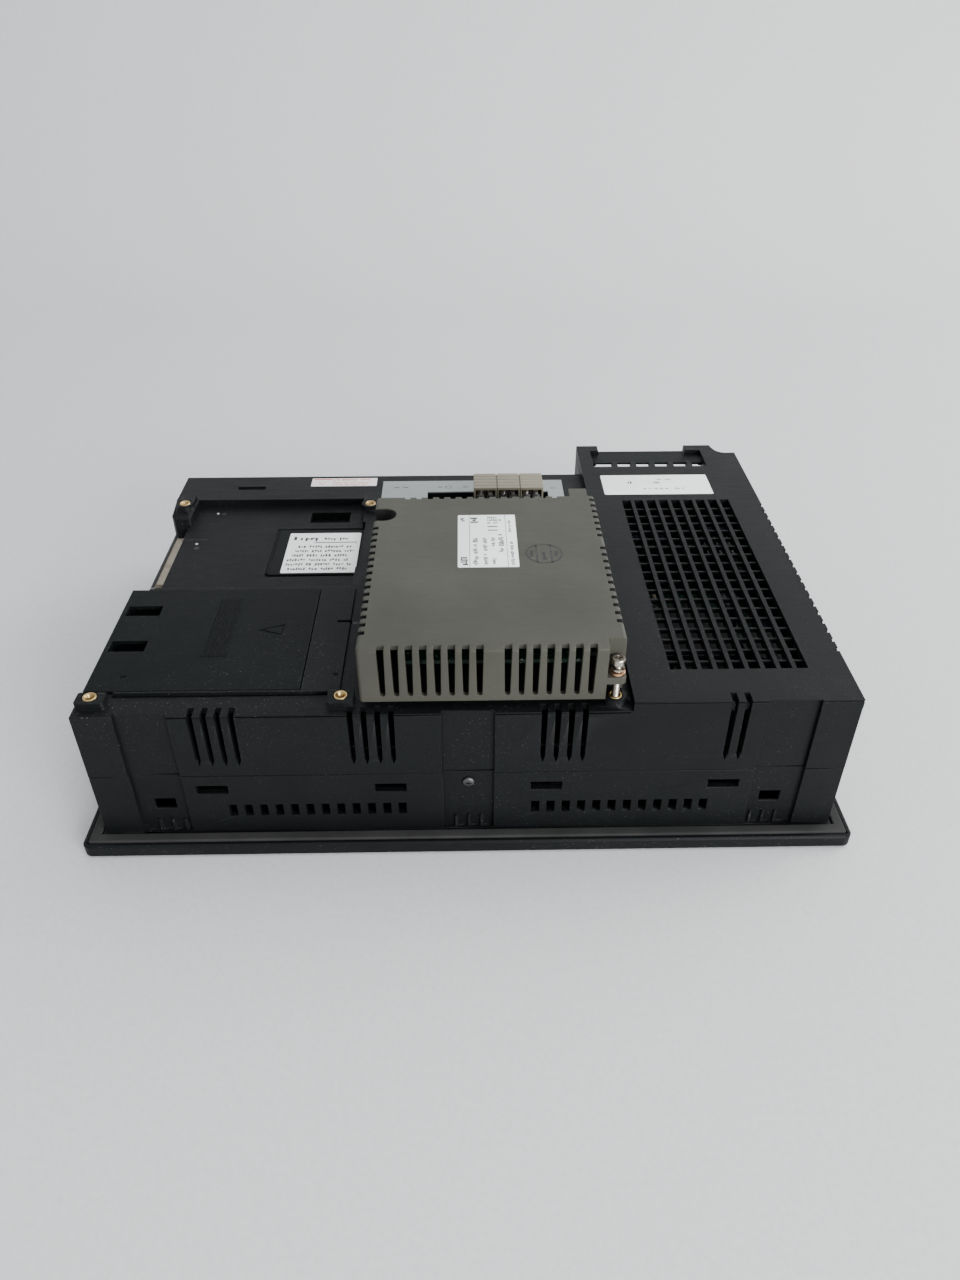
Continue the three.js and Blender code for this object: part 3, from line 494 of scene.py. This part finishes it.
def captive_screw():
    """The module's near screw: slotted and crossed head, thread, spring washer and flat copper washer."""
    x, y = CAPTIVE
    where = spot(x, y, 0)
    bm = bmesh.new()
    head = [(1.38, 82.6), (1.38, 83.2), (2.3, 83.2), (2.5, 83.45), (2.5, 85.3), (2.25, 85.7), (0, 85.7)]
    lathe(bm, [(0, 64), (1.1, 64)] + thread(1.38, 0.2, 64.4, 82.4, 0.6)[::-1] + head, where, 24)
    mesh = cut_away(from_bmesh("captive", bm), cross_recess(1.5, 85.7, 1.3, where))
    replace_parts(put("module_screw_1_turned", mesh, SCREW_STEEL, UNIT, 30), "module_screw_1")
    bm = bmesh.new()
    washer = [(1.6, 79.1), (2.75, 79.1), (2.86, 79.25), (2.86, 79.9), (2.7, 80.05), (1.6, 80.05)]
    lathe(bm, washer, where, 32, True)
    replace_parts(put("module_washer_1_turned", from_bmesh("washer", bm), COPPER, UNIT, 30),
                "module_washer_1")
    bm = bmesh.new()
    rings = []
    for step in range(29):
        angle = math.radians(12 + 336 * step / 28)
        rise = 80.3 + 0.9 * step / 28
        rings.append([
            bm.verts.new(Vector((x + r * math.cos(angle), y + r * math.sin(angle), rise + h)) * MM)
            for r, h in ((1.6, 0), (2.5, 0), (2.5, 0.7), (1.6, 0.7))])
    swept(bm, rings)
    put("module_spring_washer", from_bmesh("spring_washer", bm), SCREW_STEEL, UNIT, 30)


def label(name, x0, x1, y0, y1, z0, z1, corner, material, body=UNIT, node=None):
    """A rounded sheet with a slightly turned-down rim."""
    bm = bmesh.new()
    outline = []
    for cx, cy, start in ((x1 - corner, y0 + corner, -90), (x1 - corner, y1 - corner, 0),
                          (x0 + corner, y1 - corner, 90), (x0 + corner, y0 + corner, 180)):
        for step in range(7):
            angle = math.radians(start + 15 * step)
            outline.append((cx + corner * math.cos(angle), cy + corner * math.sin(angle)))
    middle = ((x0 + x1) / 2, (y0 + y1) / 2)
    rings = []
    for inset, z in ((0, z0), (0, z1 - 0.04), (0.12, z1)):
        rings.append([bm.verts.new((
            (x - math.copysign(inset, x - middle[0])) * MM,
            (y - math.copysign(inset, y - middle[1])) * MM, z * MM)) for x, y in outline])
    for first, second in zip(rings, rings[1:]):
        for i in range(len(outline)):
            j = (i + 1) % len(outline)
            bm.faces.new((first[i], first[j], second[j], second[i]))
    bm.faces.new(rings[-1])
    bm.faces.new(rings[0][::-1])
    piece = put(name, from_bmesh(name, bm), material, body, 60)
    if node:
        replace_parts(piece, node)


class Print:
    """Unreadable small print and ruled lines as thin ink on a label, in mm; also flat black painted shade for
    holes and grooves.
    """

    def __init__(self, name, z, material=PRINT, body=UNIT):
        self.bm = bmesh.new()
        self.name, self.z, self.material, self.body = name, z, material, body

    def bar(self, x0, x1, y0, y1):
        corners = [(x0, y0), (x1, y0), (x1, y1), (x0, y1)]
        self.bm.faces.new([self.bm.verts.new((x * MM, y * MM, self.z * MM)) for x, y in corners])

    def words(self, start, end, low, high, upright=False, weight=0.6):
        """Groups of uneven strokes from start to end; upright runs them along Y."""
        tall = high - low
        at = start
        while at < end - tall:
            for _ in range(dice.randint(2, 7)):
                step = tall * dice.uniform(0.45, 0.65)
                if at + step > end:
                    break
                foot = low + tall * dice.choice((0, 0, 0.1, 0.3))
                head = high - tall * dice.choice((0, 0.1, 0.3, 0.3))
                strokes = [(at, at + step * weight, foot, head)]
                if dice.random() < 0.6:
                    level = dice.choice((foot, head - tall * 0.2, (foot + head) / 2))
                    strokes.append((at + step * weight, at + step * 0.9, level, level + tall * 0.2))
                for a, b, c, d in strokes:
                    if upright:
                        self.bar(c, d, a, b)
                    else:
                        self.bar(a, b, c, d)
                at += step
            at += tall * 0.6

    def arc(self, x, y, radius, width, start=0, end=360, steps=48):
        """A band inside a circle; a few steps make a polygon."""
        rows = []
        for i in range(steps + 1):
            angle = math.radians(start + (end - start) * i / steps)
            rows.append([self.bm.verts.new((
                (x + r * math.cos(angle)) * MM, (y + r * math.sin(angle)) * MM, self.z * MM,
            )) for r in (radius - width, radius)])
        for first, second in zip(rows, rows[1:]):
            self.bm.faces.new((first[0], first[1], second[1], second[0]))

    def done(self):
        mesh = bpy.data.meshes.new(self.name)
        self.bm.normal_update()
        for face in self.bm.faces:
            if face.normal.z < 0:
                face.normal_flip()
        self.bm.to_mesh(mesh)
        self.bm.free()
        put(self.name, mesh, self.material, self.body)


def module_label():
    label("module_label_sheet", -3.3, 21, -51, -9, MODULE_TOP, MODULE_TOP + 0.13, 0.5, PAPER,
          node="module_label")
    ink = Print("module_label_print", MODULE_TOP + 0.145)
    ink.bar(1.4, 1.6, -51, -9.2)
    ink.bar(16.6, 16.8, -51, -9.2)
    ink.words(-49.5, -41, -2.2, 0.8, True)
    ink.words(-14.5, -10.6, -2.4, -0.4, True, 0.7)
    ink.words(-15.8, -10.4, 2.0, 5.2, True, 0.75)
    ink.words(-49.5, -28, 2.9, 5.0, True)
    ink.words(-49, -40, 7.0, 8.8, True)
    ink.words(-38.5, -26.5, 7.0, 8.8, True)
    ink.words(-49, -44, 10.6, 12.2, True)
    ink.words(-35, -27, 10.4, 12.2, True)
    ink.words(-39.5, -24, 13.4, 15.6, True)
    ink.words(-49.5, -31, 18.0, 19.4, True)
    ink.words(-24, -12, 17.8, 19.0, True)
    for low in (-16.6, -14.4, -12.2):
        ink.words(9.2, 15.8, low, low + 1.6)
    for low in (-22.5, -19.5):
        ink.bar(9.2, 13.4, low, low + 0.8)
    ink.done()


def module_stamp():
    """A ring stamp with two rules and small print across it."""
    stamp = Print("module_stamp", MODULE_TOP + 0.03, BLACK_INK_AND_SHADE)
    centre_x, centre_y = STAMP
    stamp.arc(centre_x, centre_y, 7.5, 0.7)
    for x in (28.4, 34.2):
        reach = math.sqrt(7.4 ** 2 - (x - centre_x) ** 2)
        stamp.bar(x - 0.3, x + 0.3, centre_y - reach, centre_y + reach)
    stamp.words(-43.4, -38.4, 25.4, 27.4, True, 0.8)
    stamp.words(-45.5, -36.2, 30.2, 32.4, True, 0.8)
    stamp.words(-43.4, -38.4, 35.4, 37.4, True, 0.8)
    stamp.done()


def battery_sheet():
    label("battery_label_sheet", -83.8, -50, -5, 30.4, PAN, PAN + 0.13, 0.7, PAPER, "battery_lid",
          node="battery_label")
    ink = Print("battery_label_print", PAN + 0.15, body="battery_lid")
    ink.words(-81.5, -67.5, 22.4, 27.4, weight=0.42)
    ink.words(-67, -51.5, 23.4, 26, weight=0.6)
    ink.bar(-71.5, -51.4, 21.2, 21.9)
    rows = ((-78.5, -52), (-79.5, -51.6), (-80.5, -52.4), (-82.3, -51.5), (-82.3, -52), (-81, -53))
    for row, (start, end) in enumerate(rows):
        low = 16.6 - 3.9 * row
        ink.words(start, end, low, low + 2.2, weight=0.6)
    ink.done()


def power_label():
    label("power_label_sheet", 69, 123, 51.5, 72.3, COVER_TOP, COVER_TOP + 0.1, 0.8, PAPER)
    ink = Print("power_label_print", COVER_TOP + 0.115)
    groups = (
        (97, 106, 66.6, 68), (82, 85.5, 62.8, 65.2), (88.5, 90.2, 62.6, 65.4), (95, 99.2, 63, 65),
        (108, 110, 63, 65), (89, 102, 56.6, 58.2), (105, 112, 56.8, 58.2),
    )
    for start, end, low, high in groups:
        ink.words(start, end, low, high, weight=0.55)
    ink.done()


def warning_sheet():
    label("warning_label_sheet", -79, -45.5, 71.3, 80, BACK, BACK + 0.13, 0.4, WARNING, node="warning_label")
    ink = Print("warning_label_print", BACK + 0.15, RED_PRINT)
    ink.bar(-78, -68.6, 78.2, 79.2)
    ink.arc(-73.4, 74.6, 2.4, 0.5, 30, 390, 3)
    ink.words(-68, -46.6, 77.2, 79.2, weight=0.6)
    ink.words(-68, -47, 74.2, 75.8, weight=0.5)
    ink.words(-68, -50, 72, 73.4, weight=0.5)
    ink.done()


def plate_marks():
    """Short bars, rings and strokes beside the connectors on the grey plate."""
    ink = Print("label_plate_print", BACK + 0.67)
    for x0, x1 in ((-36, -33.5), (-14, -11.6), (-31.5, -29)):
        ink.bar(x0, x1, 67.6, 68.3)
    ink.arc(-8.6, 67.9, 1.6, 0.35, 0, 360, 20)
    ink.words(-6, -3.5, 66.3, 69.5, weight=0.4)
    ink.bar(-1, 1.4, 67.6, 68.3)
    ink.arc(44.4, 66, 1.2, 0.3, 0, 360, 20)
    ink.done()


def plug_clamps():
    """Wire clamps and their screws inside the plug's mouths."""
    frames = bmesh.new()
    heads = bmesh.new()
    screw = [(0, 68.2), (1.1, 68.2), (1.1, 72.3), (1.5, 72.45), (1.5, 74.3), (1.2, 74.6), (0, 74.6)]
    left, right = PLUG
    pitch = (right - left) / 3
    for section in range(3):
        for side in (-1, 1):
            x = left + pitch * (section + 0.5) + side * 2.45
            box(frames, x - 1.9, x + 1.9, 47.6, 52.8, 64.2, 65.2)
            box(frames, x - 1.9, x - 1.3, 47.6, 52.8, 65.2, 71.0)
            box(frames, x + 1.3, x + 1.9, 47.6, 52.8, 65.2, 71.0)
            box(frames, x - 1.9, x + 1.9, 47.6, 52.8, 71.0, 72.4)
            lathe(heads, screw, spot(x, 50.2, 0), 20)
    put("comm_plug_clamps", softened(from_bmesh("clamps", frames), 0.12), STEEL, "comm_plug")
    put("comm_plug_screws", from_bmesh("clamp_screws", heads), SCREW_STEEL, "comm_plug", 30)


def dsub_contacts():
    """Twenty-five sockets in two staggered rows."""
    pins = bmesh.new()
    socket = [(0, -0.2), (0.62, -0.2), (0.62, 0.15), (0.5, 0.28), (0.34, 0.28), (0.34, -0.1), (0, -0.1)]
    centre_y, centre_z = DSUB
    for count, z in ((13, 1.42), (12, -1.42)):
        for i in range(count):
            y = centre_y + 2.76 * (i - (count - 1) / 2)
            lathe(pins, socket, spot(-138.6, y, centre_z + z, "-x"), 12)
    put("dsub_contacts", from_bmesh("pins", pins), BRASS, UNIT, 30)


def jack_contacts():
    """Eight spring wires in each modular jack."""
    wires = bmesh.new()
    for centre in JACKS:
        for i in range(8):
            x = centre + 1.02 * (i - 3.5)
            box(wires, x - 0.17, x + 0.17, 70.5, 80, 51.6, 51.95)
    put("jack_contacts", from_bmesh("wires", wires), BRASS, UNIT)


def power_parts():
    """Loose parts on the supply's board, seen through the grille."""
    cans, bodies, leads = bmesh.new(), bmesh.new(), bmesh.new()
    # x, y, radius, height
    round_parts = (
        (118, -88, 6.2, 16), (104, -90, 5, 12), (82, -86, 4, 11), (128, -36, 4, 12),
        (116, -22, 5, 15), (84, 36, 5, 13), (98, 40, 4, 10), (122, 38, 6.3, 17),
    )
    for x, y, radius, height in round_parts:
        lathe(cans, [
            (0, 0), (radius, 0), (radius, 1), (radius - 0.35, 1.5), (radius, 2), (radius, height - 0.6),
            (radius - 0.5, height), (radius - 1.1, height), (radius - 1.2, height - 0.25), (0, height - 0.25),
        ], spot(x, y, POWER_BOARD))
    # x, y, width, depth, height
    square_parts = (
        (92, -22, 14, 7, 9), (76, -16, 6, 15, 8), (104, -12, 9, 5, 4), (130, 10, 5, 18, 12),
        (78, 50, 12, 8, 12), (110, 56, 16, 10, 10), (126, 60, 8, 8, 6), (90, -86, 6, 4, 5),
    )
    for x, y, w, d, h in square_parts:
        box(bodies, x - w / 2, x + w / 2, y - d / 2, y + d / 2, POWER_BOARD, POWER_BOARD + h)
    resistor = [(0, -3.2), (1, -3.2), (1.15, -2.8), (1, -2.2), (1, 2.2), (1.15, 2.8), (1, 3.2), (0, 3.2)]
    for x, y in ((100, -24), (100, -28), (88, 0), (110, 0), (96, 30), (108, 30)):
        lathe(leads, resistor, spot(x, y, 43.1, "+y"), 16)
        box(leads, x - 0.25, x + 0.25, y - 4.6, y + 4.6, 42.9, 43.3)
    put("power_cans", from_bmesh("cans", cans), CAN_SLEEVE, UNIT, 30)
    put("power_blocks", softened(from_bmesh("blocks", bodies), 0.4), DARK, UNIT)
    put("power_resistors", from_bmesh("resistors", leads), BEIGE, UNIT, 30)


def heat_sink_fins():
    """Nine fins on a cross web."""
    bm = bmesh.new()
    for i in range(9):
        x = 78 + 5.6 * i
        box(bm, x, x + 1.3, 6.2, 21.8, 44, 62.9)
    box(bm, 76.1, 125.9, 12, 15, 42, 62.5)
    fins = softened(from_bmesh("fins", bm), 0.15)
    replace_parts(put("heat_sink_fins", fins, DARK_STEEL, UNIT), "heat_sink")


def module_cup_painted_shade():
    """Painted shade: dark sheets on the walls and floor of the half-round recess over the module's far screw,
    where the recess lies in shadow.
    """
    x, y = CUP
    bm = bmesh.new()
    rings = []
    for step in range(13):
        angle = math.radians(-90 + 15 * step)
        rings.append([bm.verts.new(Vector((x + r * math.cos(angle), y + r * math.sin(angle), z)) * MM)
                      for r, z in ((4.6, 80.05), (5.22, 80.05), (5.22, 92.0), (5.0, 92.0))])
    swept(bm, rings)
    box(bm, -39.1, -34.9, -12.6, -2.4, 80.02, 80.3)
    for side in (-12.68, -2.52):
        box(bm, -39.1, -34.9, side, side + 0.2, 80.35, 92.0)
    lathe(bm, [(0, 80.02), (5.1, 80.02), (5.1, 80.25), (0, 80.25)], spot(x, y, 0), 24)
    put("module_cup_painted_shade", from_bmesh("module_cup_painted_shade", bm), DARK, UNIT)


def dsub_rim():
    """Dark strips on top of the D-sub's shell."""
    rim = bmesh.new()
    box(rim, -139.75, -138.5, -13.4, 33.2, 59.88, 60.35)
    box(rim, -139.75, -134.6, -17.2, -14.2, 59.88, 60.35)
    put("dsub_rim", softened(from_bmesh("dsub_rim", rim), 0.1), DARK, UNIT)


def module_slot_painted_shade():
    """Painted shade: dark sheets on the far faces of the slots along the module's two long edges, where those
    faces lie in shadow.
    """
    bm = bmesh.new()
    for i in range(18):
        y = -94 + 5 * i
        if abs(y + 7.5) > 7:
            box(bm, -39.0, -36.75, y + 0.9, y + 1.05, 76.2, 92.2)
    for i in range(19):
        y = -88 + 5.13 * i
        if i != 11:
            box(bm, 54.55, 56.7, y + 0.9, y + 1.05, 76.2, 92.2)
    put("module_slot_painted_shade", from_bmesh("slot_shade_sheets", bm), DARK, UNIT)


def pan_marks():
    """Two rivets in the pan, and flat black painted shade standing in for its small holes and for two shallow
    grooves.
    """
    bm = bmesh.new()
    rivet = [(0, 61.71), (0.75, 61.71), (0.7, 61.95), (0.4, 62.1), (0, 62.15)]
    for x, y in ((-122.7, 50.6), (-126.9, 21.3)):
        lathe(bm, rivet, spot(x, y, 0), 16)
    put("pan_rivets", from_bmesh("rivets", bm), STEEL, UNIT, 40)
    # Painted shade: flat black discs where the pan's small holes lie dark, and a bar for a shallow groove
    ink = Print("pan_holes_painted_shade", PAN + 0.02, BLACK_INK_AND_SHADE)
    for x, y in ((-119.6, 50.4), (-126.2, 17.6)):
        ink.arc(x, y, 1.2, 1.2, 0, 360, 20)
    ink.bar(-133.4, -122.6, 25.1, 25.5)
    ink.done()
    # Painted shade: a flat black bar for a shallow groove in the back
    ink = Print("back_grooves_painted_shade", BACK + 0.02, BLACK_INK_AND_SHADE)
    ink.bar(-46.8, -44.5, -50.6, -49.4)
    ink.done()


cross_screw("case_screw_near", spot(0, -106.05, 30, "-y"), 2.3, 1.25, 1.05, 5.8, DARK_STEEL)
cross_screw("case_screw_far", spot(0, 106.05, 30, "+y"), 2.3, 1.25, 1.05, 5.8, DARK_STEEL)
cross_screw("module_screw_2", spot(-34.7, -7.5, 80.4), 2.5, 2.2, 1.3, 17)
for i, x in enumerate(TERMINALS, 1):
    cross_screw(f"terminal_screw_{i}", spot(x, 93, 52.4), 3.1, 1.8, 1.5, 4)
inserts()
captive_screw()
module_label()
module_stamp()
battery_sheet()
power_label()
warning_sheet()
plate_marks()
plug_clamps()
dsub_contacts()
jack_contacts()
power_parts()
heat_sink_fins()
pan_marks()
module_cup_painted_shade()
dsub_rim()
module_slot_painted_shade()


# Stage, light and camera

def studio():
    """A pale sweep: a floor that bends up into a back wall."""
    floor, tree, shader = graph("studio_floor")
    grain = noise(tree, place(tree), 500, 3)
    tone = blend_colour(tree, spread(tree, grain, 0.3, 0.7), (0.60, 0.605, 0.61), (0.65, 0.655, 0.66))
    tree.links.new(tone, shader.inputs["Base Color"])
    shader.inputs["Roughness"].default_value = 0.75
    profile = [(-1.6, 0.0), (0.55, 0.0)]
    bend = 0.35
    for step in range(1, 13):
        angle = math.radians(90 * step / 12)
        profile.append((0.55 + bend * math.sin(angle), bend * (1 - math.cos(angle))))
    profile.append((0.9, 2.2))
    bm = bmesh.new()
    rows = [[bm.verts.new((x, y, z - 0.0003)) for x in (-2.4, 2.4)] for y, z in profile]
    for first, second in zip(rows, rows[1:]):
        bm.faces.new((first[0], first[1], second[1], second[0]))
    mesh = bpy.data.meshes.new("studio_sweep")
    bm.to_mesh(mesh)
    bm.free()
    mesh.materials.append(floor)
    for face in mesh.polygons:
        face.use_smooth = True
    sweep = bpy.data.objects.new("studio_sweep", mesh)
    bpy.context.scene.collection.objects.link(sweep)


def area_light(name, location, target, size, watts):
    data = bpy.data.lights.new(name, "AREA")
    data.shape = "RECTANGLE"
    data.size, data.size_y = size
    data.energy = watts
    light = bpy.data.objects.new(name, data)
    light.location = location
    light.rotation_euler = (Vector(target) - Vector(location)).to_track_quat("-Z", "Y").to_euler()
    bpy.context.scene.collection.objects.link(light)


def lights():
    world = bpy.data.worlds.new("studio_world")
    world.use_nodes = True
    background = world.node_tree.nodes["Background"]
    background.inputs["Color"].default_value = (0.92, 0.95, 1.0, 1)
    background.inputs["Strength"].default_value = 0.78
    bpy.context.scene.world = world
    area_light("top_light", (0.35, 0.1, 1.6), (0, 0, 0), (1.6, 1.2), 15)
    area_light("right_light", (1.3, 0.6, 0.9), (0, 0, 0.05), (0.9, 0.9), 16)
    area_light("front_light", (0.85, -1.25, 0.5), (0.06, -0.1, 0.04), (0.9, 0.7), 36)


def camera():
    """A phone's view from in front and above, as solved from the case's edges."""
    pitch, yaw, roll = 0.6345, -0.0169, -0.0011
    forward = Vector((0, math.cos(pitch), -math.sin(pitch)))
    up = Vector((0, math.sin(pitch), math.cos(pitch)))
    turn = Matrix.Rotation(yaw, 3, "Z")
    forward = turn @ forward
    up = turn @ up
    up = Matrix.Rotation(-roll, 3, forward) @ up
    right = forward.cross(up)
    data = bpy.data.cameras.new("camera")
    data.sensor_width = 36
    data.lens = 26.93
    eye = bpy.data.objects.new("camera", data)
    eye.matrix_world = Matrix((
        (right.x, up.x, -forward.x, -0.0000113),
        (right.y, up.y, -forward.y, -0.37124),
        (right.z, up.z, -forward.z, 0.29274),
        (0, 0, 0, 1),
    ))
    bpy.context.scene.collection.objects.link(eye)
    bpy.context.scene.camera = eye


studio()
lights()
camera()
